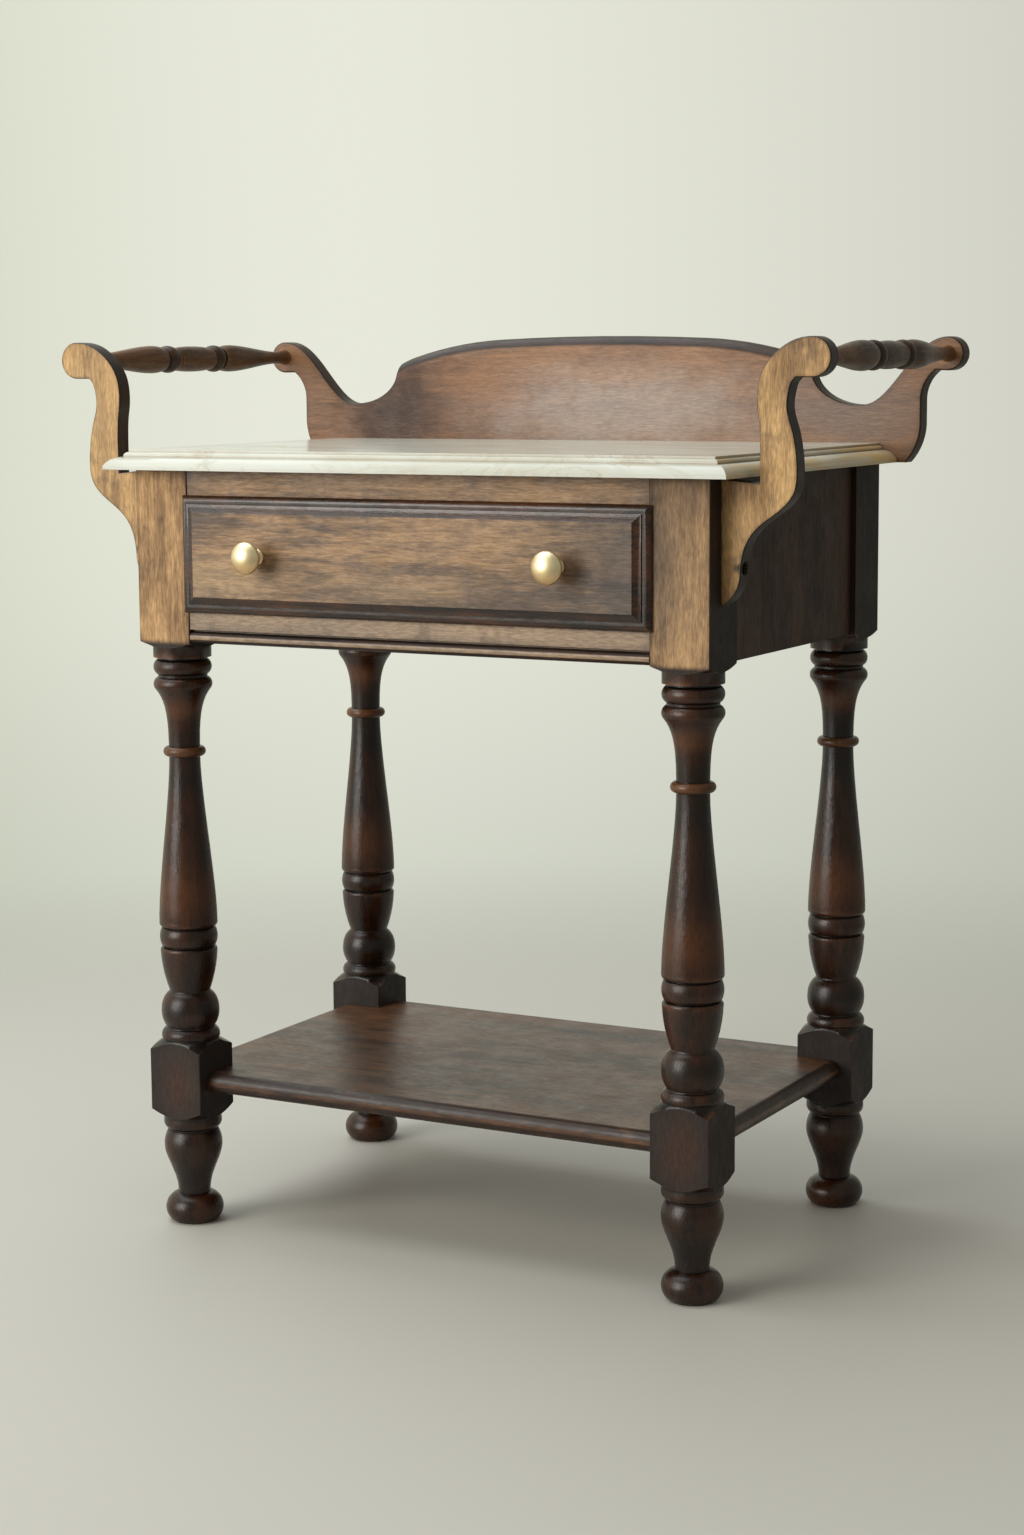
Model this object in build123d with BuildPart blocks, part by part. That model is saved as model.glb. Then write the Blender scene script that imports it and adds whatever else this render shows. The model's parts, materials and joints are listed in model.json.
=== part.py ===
"""Washstand: turned frame, one drawer, marble top, scrolled splashback and two towel bars.

Millimetres. X runs to the right, Y to the back and Z up from the floor.
The origin is under the middle of the whole stand, knobs included.
"""

import os
from math import asin, degrees

from build123d import *

os.makedirs("parts", exist_ok=True)

# Frame
stand_width = 611.0          # over the outer faces of the legs
stand_depth = 403.5          # faces of the front legs to the backs of the rear legs
top_height = 754.0           # floor to the underside of the marble
leg_stock = 59.0             # square section of the legs
turning_allowance = 0.5      # taken off each face before turning
lower_block_base = 118.0     # lower arris of the block at the shelf
lower_block_length = 60.0
block_ease = 0.8             # chamfer along the block arrises

# Turnings of the legs, as radii and as heights from the floor and the blocks
foot_flat_radius = 21.4
lower_neck_radius = 16.0     # above the ball foot
upper_neck_radius = 15.3     # either side of the small ring
groove_depth = 4.8           # of the cuts beside the beads
foot_bulge_height = 14.0
foot_height = 29.4
vase_drop = 39.0             # widest part of the vase, under the lower block
vase_swell = 14.0            # pull of the vase's curve below its widest part
lower_shoulder = 8.9         # turned shoulders of the lower block, above and below it
lower_bead_width = 13.4
ball_rise = 38.0             # widest part of the ball, over the lower block
cup_rise = 59.2              # foot of the cup
cup_length = 40.3
band_length = 18.4           # swelling over the cup
taper_rise = 128.0           # shoulder of the long taper
taper_pull = 44.0            # how far the taper's curve stays full below the ring
ring_drop = 115.3            # small ring, under the upper block
ring_width = 10.0
ring_swell = 5.6
cove_drop = 47.8             # top of the flared cove
cove_pull = 23.0
upper_bead_width = 15.6
upper_shoulder = 6.1         # turned shoulder under the upper block

# Front rails
rail_thickness = 22.0
rail_setback = 1.0           # behind the faces of the legs
top_rail_height = 27.5
opening_height = 106.0       # drawer opening between the rails
bottom_rail_height = 20.5
bead_height = 13.0           # half-round strip under the bottom rail
bead_quirk = 1.8             # shadow line over the half round

# Side and back panels
panel_thickness = 18.0
panel_setback = 6.5          # behind the outer faces of the legs

# Tenons and dowels
tenon_thickness = 8.0
tenon_length = 18.0
rail_tenon_shoulder = 4.0    # above and below a rail's tenon
panel_tenon_shoulder = 12.0  # above and below a panel's tenon
joint_gap = 0.15             # glue line round a tenon or dovetail
end_gap = 1.5                # empty end of a mortise or dowel hole
dowel_diameter = 8.0
dowel_half_length = 16.0
dowel_gap = 0.1              # round a dowel or a screw

# Shelf
shelf_thickness = 20.0
shelf_rise = 18.5            # over the lower arris of the blocks
shelf_setback = 13.3         # its edges behind the faces of the blocks
shelf_nose_radius = 9.0

# Drawer
drawer_side_clearance = 1.5
drawer_rise = 0.5            # over the runners
drawer_top_gap = 4.5         # between the sides and the kickers
drawer_side_thickness = 12.0
drawer_back_thickness = 10.0
drawer_back_drop = 6.0       # its top edge below the sides
drawer_rear_clearance = 8.0
bottom_thickness = 6.0
bottom_groove_depth = 5.0
bottom_groove_rise = 8.0     # over the lower edge of the sides
front_rebate_depth = 11.8    # part of the front that enters the opening
lip_overlap = 3.4            # of the front over the opening
lip_gap = 0.3                # between the lip and the frame
front_projection = 10.2      # raised field in front of the lip's back
tail_length = 9.0            # half-blind dovetails at the front
tail_width = 15.0
tail_flare = 1.5
front_tails = 3
back_tails = 2

# Knobs
knob_inset = 86.5            # in from the side of the drawer opening
knob_projection = 29.0
knob_head_radius = 15.5
knob_base_radius = 7.7
flange_thickness = 1.6
knob_neck_radius = 4.6
knob_neck_height = 8.0
rim_height = 20.0            # widest part of the head, over the drawer front
rim_half = 3.0
knob_screw_diameter = 4.0
knob_screw_grip = 9.0        # thread inside the knob
screw_head_thickness = 2.4
slot_width = 1.0

# Runners, kickers and guides
runner_thickness = 18.0
runner_inset = 7.0           # past the inside of the drawer side
guide_width = 12.0
guide_height = 25.0

# Marble
marble_side_overhang = 24.5
marble_front_overhang = 21.0
marble_thickness = 19.0
ovolo_width = 14.0           # lower moulding of the edge
ovolo_height = 12.2
step_width = 4.8             # bead and step over the ovolo

# Splashback
board_thickness = 17.0
arch_rise = 125.6            # crown of the arch over the top of the legs
arch_roundover = 14.0
arch_corner_inset = 65.0     # foot of the notch's inner wall inside the face of the leg
crown_reach = 122.5          # end of the flat crown, in from that foot
crown_drop = 2.7
flank_reach = 18.5           # end of the falling flank, in from that foot
flank_drop = 20.6
corner_drop = 27.0           # upper corner of the notch, below the crown
wall_drop = 40.6             # foot of the notch's inner wall
notch_width = 51.7           # from that foot to the lowest point of the notch
notch_drop = 69.5
notch_pull = 32.0            # how far the notch stays low on its way to the horn
horn_rise = 105.7
horn_radius = 16.4
horn_pull = 37.6             # how far the horn's upper edge stays full towards the notch
horn_waist = 26.5            # outer edge of the horn, in from the scroll's centre
horn_foot = 42.0             # its lower end, in from the scroll's centre
horn_belly = 36.0            # height where the outer edge is straight
horn_throat = 46.0           # under the scroll's centre, where it turns out again
board_ease = 2.0             # rounding of the front arris beside the crown

# Towel arms and bars
arm_thickness = 18.0
arm_setback = 23.0           # behind the face of the front leg
arm_marble_gap = 12.0        # between the marble and the arm
arm_width = 35.5
arm_tail_drop = 114.5        # tip of the arm, below the top of the leg
arm_tail_width = 18.5
arm_tail_round = 28.5        # height of the rounded tip
arm_elbow_drop = 43.0        # where the tail opens into the elbow
arm_waist_rise = 68.0        # narrowest part of the arm
arm_scroll_rise = 104.3
arm_scroll_radius = 17.6
arm_scroll_offset = 48.5     # its centre, out from the inner edge
arm_ease = 1.3               # rounding of the arrises
arm_screw_drop = 80.0        # below the top of the leg
arm_dowel_drop = 24.0
arm_screw_diameter = 4.5
arm_counterbore_diameter = 13.0
arm_counterbore_reach = 12.0 # from the leg to the seat of the screw head
arm_screw_depth = 26.0       # thread in the leg
screw_head_gap = 0.7         # round the head in its counterbore
bar_splay = 9.5              # rear end further in than the front end
bar_radius = 13.9
bar_neck_radius = 6.4
bar_barrel_radius = 13.1
bar_barrel_half = 27.5       # half of the middle barrel
bar_ring_width = 16.0
bar_bulb_start = 50.5        # outer bulb, from the middle of the bar
bar_bulb_widest = 68.0
bar_bulb_pull = 24.0
bar_neck_length = 22.0
bar_tenon_diameter = 9.5
bar_tenon_length = 11.0

# Places worked out from the sizes above
half_width = stand_width / 2
inner_half = half_width - leg_stock
leg_x = half_width - leg_stock / 2
overall_depth = stand_depth + lip_gap + front_projection + knob_projection
back_y = overall_depth / 2
front_y = back_y - stand_depth
front_leg_y = front_y + leg_stock / 2
rear_leg_y = back_y - leg_stock / 2
front_leg_back = front_y + leg_stock
rear_leg_front = back_y - leg_stock
opening_top = top_height - top_rail_height
opening_bottom = opening_top - opening_height
bottom_rail_base = opening_bottom - bottom_rail_height
upper_block_base = bottom_rail_base - bead_height
lower_block_top = lower_block_base + lower_block_length
rail_y = front_y + rail_setback + rail_thickness / 2
rail_back = front_y + rail_setback + rail_thickness
panel_centre_x = half_width - panel_setback - panel_thickness / 2
panel_centre_y = back_y - panel_setback - panel_thickness / 2
panel_inner_x = panel_centre_x - panel_thickness / 2
panel_inner_y = panel_centre_y - panel_thickness / 2
panel_height = top_height - upper_block_base
panel_mid_z = (top_height + upper_block_base) / 2
shelf_mid_z = lower_block_base + shelf_rise + shelf_thickness / 2
board_front = back_y - board_thickness
board_mid_y = back_y - board_thickness / 2
arm_front = front_y + arm_setback
arm_mid_y = arm_front + arm_thickness / 2
arm_back = arm_front + arm_thickness
shaft_gap = dowel_gap / 2
marble_half = half_width + marble_side_overhang
arm_inner = marble_side_overhang + arm_marble_gap
arm_outer = arm_inner + arm_width
arm_x = half_width + arm_inner + arm_scroll_offset
horn_x = arm_x - bar_splay


def upright(x, y, z=0.0):
    """Plane that faces the front, with its own X to the right and its own Y up."""
    return Plane(origin=(x, y, z), x_dir=(1, 0, 0), z_dir=(0, -1, 0))


def keep(builder, name):
    """Label a finished piece and write it."""
    builder.part.label = name
    export_step(builder.part, f"parts/{name}.step")


# ---------------------------------------------------------------- legs
turned_radius = leg_stock / 2 - turning_allowance
groove_radius = turned_radius - groove_depth
arris_radius = leg_stock * 0.71


def turned_outline():
    """Half outline of a leg: ball foot, vase, block, ball and cup, long baluster, cove and beads."""
    vase_top = lower_block_base - vase_drop
    vase_end = vase_top + 15.2
    bead_top = lower_block_base - lower_shoulder
    lower_bead = bead_top - lower_bead_width
    bead_middle = lower_bead + 7
    lower_ring = lower_block_top + lower_shoulder
    ball_base = lower_ring + 13.5
    ball_middle = lower_block_top + ball_rise
    ball_end_radius = groove_radius - 3.9
    cup_base = lower_block_top + cup_rise
    cup_top = cup_base + cup_length
    band_base = cup_top + 4.5
    band_top = band_base + band_length
    band_end_radius = turned_radius - 2.4
    taper_base = lower_block_top + taper_rise
    ring_base = upper_block_base - ring_drop
    cove_base = ring_base + ring_width
    cove_top = upper_block_base - cove_drop
    upper_bead = cove_top + 13.8
    upper_bead_top = upper_bead + upper_bead_width
    collar_base = upper_bead_top + 1.8
    collar_radius = turned_radius - 0.5
    with BuildSketch() as outline:
        with BuildLine():
            Line((0, 0), (foot_flat_radius, 0))
            ThreePointArc((foot_flat_radius, 0), (turned_radius - 0.1, foot_bulge_height),
                          (lower_neck_radius, foot_height))
            Line((lower_neck_radius, foot_height), (lower_neck_radius, foot_height + 1.6))
            Bezier((lower_neck_radius, foot_height + 1.6), (lower_neck_radius + 0.6, foot_height + 21.6),
                   (turned_radius, vase_top - vase_swell), (turned_radius, vase_top))
            ThreePointArc((turned_radius, vase_top), (turned_radius - 1.1, vase_top + 8.5),
                          (turned_radius - 3.8, vase_end))
            Polyline((turned_radius - 3.8, vase_end), (groove_radius, vase_end + 0.3),
                     (groove_radius, lower_bead))
            ThreePointArc((groove_radius, lower_bead), (turned_radius - 1.3, lower_bead + 3),
                          (turned_radius, bead_middle))
            ThreePointArc((turned_radius, bead_middle), (turned_radius - 0.13, (bead_middle + bead_top) / 2),
                          (turned_radius - 0.5, bead_top))
            Polyline((turned_radius - 0.5, bead_top), (arris_radius, lower_block_base),
                     (arris_radius, lower_block_top), (turned_radius - 1.4, lower_ring))
            ThreePointArc((turned_radius - 1.4, lower_ring), (turned_radius, lower_ring + 4.4),
                          (groove_radius, ball_base - 1.2))
            Line((groove_radius, ball_base - 1.2), (groove_radius, ball_base))
            ThreePointArc((groove_radius, ball_base), (turned_radius - 1.5, ball_base + 6.6),
                          (turned_radius - 0.2, ball_middle))
            Bezier((turned_radius - 0.2, ball_middle), (turned_radius - 0.2, ball_middle + 10),
                   (turned_radius - 3.5, cup_base - 5.2), (ball_end_radius, cup_base - 1.4))
            Line((ball_end_radius, cup_base - 1.4), (ball_end_radius, cup_base))
            ThreePointArc((ball_end_radius, cup_base), (turned_radius - 3.1, cup_base + cup_length / 2),
                          (turned_radius - 0.8, cup_top))
            ThreePointArc((turned_radius - 0.8, cup_top), (turned_radius - 1.4, cup_top + 2),
                          (turned_radius - 3.2, cup_top + 3.2))
            Polyline((turned_radius - 3.2, cup_top + 3.2), (groove_radius, cup_top + 3.4),
                     (groove_radius, band_base - 0.2), (band_end_radius, band_base))
            ThreePointArc((band_end_radius, band_base), (turned_radius - 0.3, band_base + band_length / 2),
                          (band_end_radius, band_top))
            Polyline((band_end_radius, band_top), (groove_radius + 0.4, band_top + 0.2),
                     (groove_radius + 0.4, band_top + 1.2), (turned_radius - 2, taper_base - 4.2))
            ThreePointArc((turned_radius - 2, taper_base - 4.2), (turned_radius - 0.6, taper_base - 2.7),
                          (turned_radius - 0.2, taper_base))
            Bezier((turned_radius - 0.2, taper_base), (turned_radius - 0.3, taper_base + taper_pull),
                   (upper_neck_radius + 0.4, ring_base - taper_pull), (upper_neck_radius, ring_base))
            ThreePointArc((upper_neck_radius, ring_base),
                          (upper_neck_radius + ring_swell, ring_base + ring_width / 2),
                          (upper_neck_radius, cove_base))
            Bezier((upper_neck_radius, cove_base), (upper_neck_radius + 0.4, cove_base + cove_pull),
                   (upper_neck_radius + 0.6, cove_top - 14), (turned_radius - 1.6, cove_top))
            ThreePointArc((turned_radius - 1.6, cove_top), (turned_radius - 0.2, cove_top + 3.8),
                          (groove_radius, upper_bead - 2.2))
            Line((groove_radius, upper_bead - 2.2), (groove_radius, upper_bead))
            ThreePointArc((groove_radius, upper_bead),
                          (turned_radius - 0.4, upper_bead + upper_bead_width / 2),
                          (groove_radius, upper_bead_top))
            Polyline((groove_radius, upper_bead_top), (groove_radius, collar_base),
                     (collar_radius, collar_base), (collar_radius, upper_block_base - upper_shoulder),
                     (arris_radius, upper_block_base), (arris_radius, top_height), (0, top_height), (0, 0))
        make_face()
    return outline.sketch


def mortise(centre, size, gap=joint_gap):
    """Cut the socket of a tenon, with the glue line all round."""
    with Locations(centre):
        Box(size[0] + 2 * gap, size[1] + 2 * gap, size[2] + 2 * gap, mode=Mode.SUBTRACT)


def dowel_hole(mouth, direction, depth, diameter=dowel_diameter):
    """Bore a round hole from its mouth into the piece."""
    with Locations(Plane(origin=mouth, z_dir=direction).location):
        Cylinder(diameter / 2, depth, align=(Align.CENTER, Align.CENTER, Align.MIN), mode=Mode.SUBTRACT)


def leg_blank(side, y):
    """One leg, turned between its square blocks, before it is mortised."""
    with BuildPart() as leg:
        with BuildSketch(Plane(origin=(side * leg_x, y, 0))):
            Rectangle(leg_stock, leg_stock)
        extrude(amount=top_height)
        chamfer(leg.edges().filter_by(Axis.Z), block_ease)
        with BuildSketch(upright(side * leg_x, y)):
            add(turned_outline())
        revolve(axis=Axis((side * leg_x, y, 0), (0, 0, 1)), mode=Mode.INTERSECT)
    return leg.part


rail_mortise_x = inner_half + (tenon_length + end_gap) / 2 - joint_gap
rail_mortise_length = tenon_length + end_gap
top_tenon_height = top_rail_height - 2 * rail_tenon_shoulder
bottom_tenon_height = bottom_rail_height - 2 * rail_tenon_shoulder
panel_tenon_height = panel_height - 2 * panel_tenon_shoulder
top_rail_mid = top_height - top_rail_height / 2
bottom_rail_mid = opening_bottom - bottom_rail_height / 2

for side, hand in ((-1, "left"), (1, "right")):
    with BuildPart() as front_leg:
        add(leg_blank(side, front_leg_y))
        mortise((side * rail_mortise_x, rail_y, top_rail_mid),
                (rail_mortise_length, tenon_thickness, top_tenon_height))
        mortise((side * rail_mortise_x, rail_y, bottom_rail_mid),
                (rail_mortise_length, tenon_thickness, bottom_tenon_height))
        mortise((side * panel_centre_x, front_leg_back - rail_mortise_length / 2 + joint_gap, panel_mid_z),
                (tenon_thickness, rail_mortise_length, panel_tenon_height))
        dowel_hole((side * half_width, arm_mid_y, top_height - arm_screw_drop), (-side, 0, 0),
                   arm_screw_depth + end_gap, arm_screw_diameter)
        dowel_hole((side * half_width, arm_mid_y, top_height - arm_dowel_drop), (-side, 0, 0),
                   dowel_half_length)
        dowel_hole((side * inner_half, front_leg_y, shelf_mid_z), (side, 0, 0), dowel_half_length)
    keep(front_leg, f"leg_front_{hand}")

    with BuildPart() as rear_leg:
        add(leg_blank(side, rear_leg_y))
        mortise((side * panel_centre_x, rear_leg_front + rail_mortise_length / 2 - joint_gap, panel_mid_z),
                (tenon_thickness, rail_mortise_length, panel_tenon_height))
        mortise((side * rail_mortise_x, panel_centre_y, panel_mid_z),
                (rail_mortise_length, tenon_thickness, panel_tenon_height))
        dowel_hole((side * leg_x, board_mid_y, top_height), (0, 0, -1), dowel_half_length)
        dowel_hole((side * inner_half, rear_leg_y, shelf_mid_z), (side, 0, 0), dowel_half_length)
    keep(rear_leg, f"leg_rear_{hand}")

# ---------------------------------------------------------------- rails and panels
with BuildPart() as top_rail:
    with Locations((0, rail_y, top_rail_mid)):
        Box(2 * inner_half, rail_thickness, top_rail_height)
        Box(2 * (inner_half + tenon_length), tenon_thickness, top_tenon_height)
keep(top_rail, "top_rail")

with BuildPart() as bottom_rail:
    with Locations((0, rail_y, bottom_rail_mid)):
        Box(2 * inner_half, rail_thickness, bottom_rail_height)
        Box(2 * (inner_half + tenon_length), tenon_thickness, bottom_tenon_height)
keep(bottom_rail, "bottom_rail")

bead_radius = (bead_height - bead_quirk) / 2
with BuildPart() as rail_bead:
    with BuildSketch(Plane(origin=(-inner_half, front_y, upper_block_base), x_dir=(0, 1, 0),
                           z_dir=(1, 0, 0))):
        with BuildLine():
            Line((bead_radius, 0), (rail_setback + rail_thickness, 0))
            Polyline((rail_setback + rail_thickness, 0), (rail_setback + rail_thickness, bead_height),
                     (bead_radius, bead_height), (bead_radius, 2 * bead_radius))
            ThreePointArc((bead_radius, 2 * bead_radius), (0, bead_radius), (bead_radius, 0))
        make_face()
    extrude(amount=2 * inner_half)
keep(rail_bead, "rail_bead")

for side, hand in ((-1, "left"), (1, "right")):
    with BuildPart() as side_panel:
        with Locations((side * panel_centre_x, (front_leg_back + rear_leg_front) / 2, panel_mid_z)):
            Box(panel_thickness, rear_leg_front - front_leg_back, panel_height)
            Box(tenon_thickness, rear_leg_front - front_leg_back + 2 * tenon_length, panel_tenon_height)
    keep(side_panel, f"side_panel_{hand}")

with BuildPart() as back_panel:
    with Locations((0, panel_centre_y, panel_mid_z)):
        Box(2 * inner_half, panel_thickness, panel_height)
        Box(2 * (inner_half + tenon_length), tenon_thickness, panel_tenon_height)
keep(back_panel, "back_panel")

# ---------------------------------------------------------------- drawer runners
drawer_half = inner_half - drawer_side_clearance
drawer_inner_half = drawer_half - drawer_side_thickness
runner_inner = drawer_inner_half - runner_inset


def notched_strip(side, base):
    """Strip along one side of the opening, notched round both legs."""
    with BuildPart() as strip:
        with BuildSketch(Plane.XY.offset(base)):
            with BuildLine():
                Polyline((side * runner_inner, rail_back), (side * inner_half, rail_back),
                         (side * inner_half, front_leg_back), (side * panel_inner_x, front_leg_back),
                         (side * panel_inner_x, rear_leg_front), (side * inner_half, rear_leg_front),
                         (side * inner_half, panel_inner_y), (side * runner_inner, panel_inner_y),
                         close=True)
            make_face()
        extrude(amount=runner_thickness)
    return strip


for side, hand in ((-1, "left"), (1, "right")):
    keep(notched_strip(side, opening_bottom - runner_thickness), f"drawer_runner_{hand}")
    keep(notched_strip(side, opening_top), f"drawer_kicker_{hand}")

    with BuildPart() as drawer_guide:
        with Locations((side * (inner_half + guide_width / 2), (front_leg_back + rear_leg_front) / 2,
                        opening_bottom + guide_height / 2)):
            Box(guide_width, rear_leg_front - front_leg_back, guide_height)
    keep(drawer_guide, f"drawer_guide_{hand}")

# ---------------------------------------------------------------- drawer
lip_y = front_y - lip_gap
front_inside = lip_y + front_rebate_depth
drawer_rear = panel_inner_y - drawer_rear_clearance
drawer_base = opening_bottom + drawer_rise
drawer_side_height = opening_height - drawer_rise - drawer_top_gap
drawer_top = drawer_base + drawer_side_height
bottom_base = drawer_base + bottom_groove_rise
bottom_top = bottom_base + bottom_thickness
opening_mid = (opening_top + opening_bottom) / 2
field_y = lip_y - front_projection
knob_z = opening_mid
knob_x = inner_half - knob_inset


def moulded_section(half_opening, rebate_half):
    """Section of the drawer front: rebate, lip, ovolo, shallow cove and the raised field."""
    lip_half = half_opening + lip_overlap
    with BuildSketch() as section:
        with BuildLine():
            Polyline((0, front_projection), (0, -front_rebate_depth), (rebate_half, -front_rebate_depth),
                     (rebate_half, 0), (lip_half, 0), (lip_half, 1.8))
            ThreePointArc((lip_half, 1.8), (lip_half - 2.6, 4.6), (lip_half - 7.6, 5.6))
            Polyline((lip_half - 7.6, 5.6), (lip_half - 8.2, 5.6), (lip_half - 8.2, 6.8))
            ThreePointArc((lip_half - 8.2, 6.8), (lip_half - 12.2, 8.1), (lip_half - 15.8, front_projection))
            Line((lip_half - 15.8, front_projection), (0, front_projection))
        make_face()
        mirror(about=Plane.YZ)
    return section.sketch


def dovetails(count, low, high, root, length, gap):
    """Row of dovetails along a drawer corner, widening away from the root."""
    pitch = (high - low) / count
    narrow = tail_width / 2 + gap
    wide = narrow + tail_flare
    with BuildSketch() as row:
        for index in range(count):
            middle = low + pitch * (index + 0.5)
            with BuildLine():
                Polyline((root, middle - narrow), (root + length, middle - wide),
                         (root + length, middle + wide), (root, middle + narrow), close=True)
            make_face()
    return row.sketch


def front_tail_plane(x):
    """Plane across the front corner: its own X runs forward from the back of the front, its own Y up."""
    return Plane(origin=(x, front_inside, 0), x_dir=(0, -1, 0), z_dir=(-1, 0, 0))


def rear_tail_plane(x):
    """Plane across the rear corner: its own X runs backward from the inside of the back, its own Y up."""
    return Plane(origin=(x, drawer_rear - drawer_back_thickness, 0), x_dir=(0, 1, 0), z_dir=(1, 0, 0))


back_low = bottom_top + joint_gap
back_high = drawer_top - drawer_back_drop
lip_width = 2 * (inner_half + lip_overlap)
lip_height = opening_height + 2 * lip_overlap
rebate_rise = (drawer_top + drawer_base) / 2 - opening_mid

with BuildPart() as drawer_front:
    with BuildSketch(Plane(origin=(0, lip_y, opening_mid + lip_height / 2), x_dir=(1, 0, 0),
                           z_dir=(0, 0, -1))):
        add(moulded_section(inner_half, drawer_half))
    extrude(amount=lip_height)
    with BuildSketch(Plane(origin=(-lip_width / 2, lip_y, opening_mid), x_dir=(0, 0, 1),
                           z_dir=(1, 0, 0))):
        add(moulded_section(opening_height / 2, drawer_side_height / 2 - abs(rebate_rise)))
    extrude(amount=lip_width, mode=Mode.INTERSECT)
    for side in (-1, 1):
        with BuildSketch(front_tail_plane(side * drawer_half)):
            add(dovetails(front_tails, drawer_base, drawer_top, -joint_gap,
                          tail_length + 2 * joint_gap, joint_gap))
        extrude(amount=side * (drawer_side_thickness + joint_gap), mode=Mode.SUBTRACT)
    mortise((0, front_inside - bottom_groove_depth / 2, (bottom_base + bottom_top) / 2),
            (2 * (drawer_inner_half + bottom_groove_depth), bottom_groove_depth, bottom_thickness))
    with Locations(*[upright(side * knob_x, field_y, knob_z).location for side in (-1, 1)]):
        Hole(knob_screw_diameter / 2 + dowel_gap)
keep(drawer_front, "drawer_front")

for side, hand in ((-1, "left"), (1, "right")):
    body_rear = drawer_rear - drawer_back_thickness
    side_x = side * (drawer_half - drawer_side_thickness / 2)
    with BuildPart() as drawer_side:
        with Locations((side_x, (front_inside + body_rear) / 2, (drawer_base + drawer_top) / 2)):
            Box(drawer_side_thickness, body_rear - front_inside, drawer_side_height)
        with BuildSketch(front_tail_plane(side_x)):
            add(dovetails(front_tails, drawer_base, drawer_top, 0, tail_length, 0))
        extrude(amount=drawer_side_thickness / 2, both=True)
        with BuildSketch(rear_tail_plane(side_x)):
            add(dovetails(back_tails, back_low, back_high, 0, drawer_back_thickness, 0))
        extrude(amount=drawer_side_thickness / 2, both=True)
        mortise((side * (drawer_inner_half + bottom_groove_depth / 2), (front_inside + drawer_rear) / 2,
                 (bottom_base + bottom_top) / 2),
                (bottom_groove_depth, drawer_rear - front_inside + 2 * tail_length, bottom_thickness))
    keep(drawer_side, f"drawer_side_{hand}")

with BuildPart() as drawer_back:
    with Locations((0, drawer_rear - drawer_back_thickness / 2, (back_low + back_high) / 2)):
        Box(2 * drawer_half, drawer_back_thickness, back_high - back_low)
    for side in (-1, 1):
        with BuildSketch(rear_tail_plane(side * drawer_half)):
            add(dovetails(back_tails, back_low, back_high, -joint_gap, drawer_back_thickness + 2 * joint_gap,
                          joint_gap))
        extrude(amount=-side * (drawer_side_thickness + joint_gap), mode=Mode.SUBTRACT)
keep(drawer_back, "drawer_back")

bottom_front = front_inside - bottom_groove_depth
with BuildPart() as drawer_bottom:
    with Locations((0, (bottom_front + drawer_rear) / 2, (bottom_base + bottom_top) / 2)):
        Box(2 * (drawer_inner_half + bottom_groove_depth), drawer_rear - bottom_front, bottom_thickness)
keep(drawer_bottom, "drawer_bottom")

# ---------------------------------------------------------------- knobs
dome_edge = knob_head_radius - 1.5
dome_rise = knob_projection - rim_height - rim_half
dome_radius = (dome_edge ** 2 + dome_rise ** 2) / (2 * dome_rise)
dome_angle = degrees(asin(dome_edge / dome_radius))

for side, hand in ((-1, "left"), (1, "right")):
    with BuildPart() as knob:
        with BuildSketch(Plane(origin=(side * knob_x, field_y, knob_z), x_dir=(1, 0, 0), z_dir=(0, 0, 1))):
            with BuildLine():
                Polyline((0, -knob_projection), (0, 0), (knob_base_radius, 0),
                         (knob_base_radius, -flange_thickness))
                ThreePointArc((knob_base_radius, -flange_thickness), (knob_neck_radius + 0.7, -4),
                              (knob_neck_radius, -knob_neck_height))
                ThreePointArc((knob_neck_radius, -knob_neck_height),
                              (knob_neck_radius + 2.5, 5.4 - rim_height), (dome_edge, rim_half - rim_height))
                ThreePointArc((dome_edge, rim_half - rim_height), (knob_head_radius, -rim_height),
                              (dome_edge, -rim_half - rim_height))
                CenterArc((0, dome_radius - knob_projection), dome_radius, -90, dome_angle)
            make_face()
        revolve(axis=Axis((side * knob_x, field_y, knob_z), (0, -1, 0)))
        dowel_hole((side * knob_x, field_y, knob_z), (0, -1, 0), knob_screw_grip + end_gap,
                   knob_screw_diameter + 2 * shaft_gap)
    keep(knob, f"knob_{hand}")

screw_length = front_projection + front_rebate_depth + knob_screw_grip
with BuildPart() as knob_screws:
    for side in (-1, 1):
        with BuildSketch(upright(side * knob_x, front_inside, knob_z)):
            Circle(knob_screw_diameter / 2)
        extrude(amount=screw_length)
        with BuildSketch(upright(side * knob_x, front_inside, knob_z)):
            Circle(knob_screw_diameter)
        extrude(amount=-screw_head_thickness)
        with BuildSketch(upright(side * knob_x, front_inside + screw_head_thickness, knob_z)):
            Rectangle(2 * knob_screw_diameter, slot_width)
        extrude(amount=screw_head_thickness / 2, mode=Mode.SUBTRACT)
keep(knob_screws, "knob_screws")

# ---------------------------------------------------------------- marble top
marble_front = front_y - marble_front_overhang
marble_depth = board_front - marble_front
flat_inset = ovolo_width + step_width


def marble_section(half):
    """Section of the slab, from the middle out to its moulded edge: ovolo, bead and a small step."""
    bead = half - ovolo_width - 1
    with BuildSketch() as section:
        with BuildLine():
            Polyline((0, marble_thickness), (0, 0), (half, 0), (half, 3))
            ThreePointArc((half, 3), (half - 5, 9), (half - ovolo_width, ovolo_height))
            Line((half - ovolo_width, ovolo_height), (bead, ovolo_height))
            ThreePointArc((bead, ovolo_height), (bead - 0.8, ovolo_height + 3.2),
                          (bead - 3, ovolo_height + 4.4))
            Polyline((bead - 3, ovolo_height + 4.4), (half - flat_inset, ovolo_height + 4.4),
                     (half - flat_inset, marble_thickness), (0, marble_thickness))
        make_face()
    return section.sketch


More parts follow.
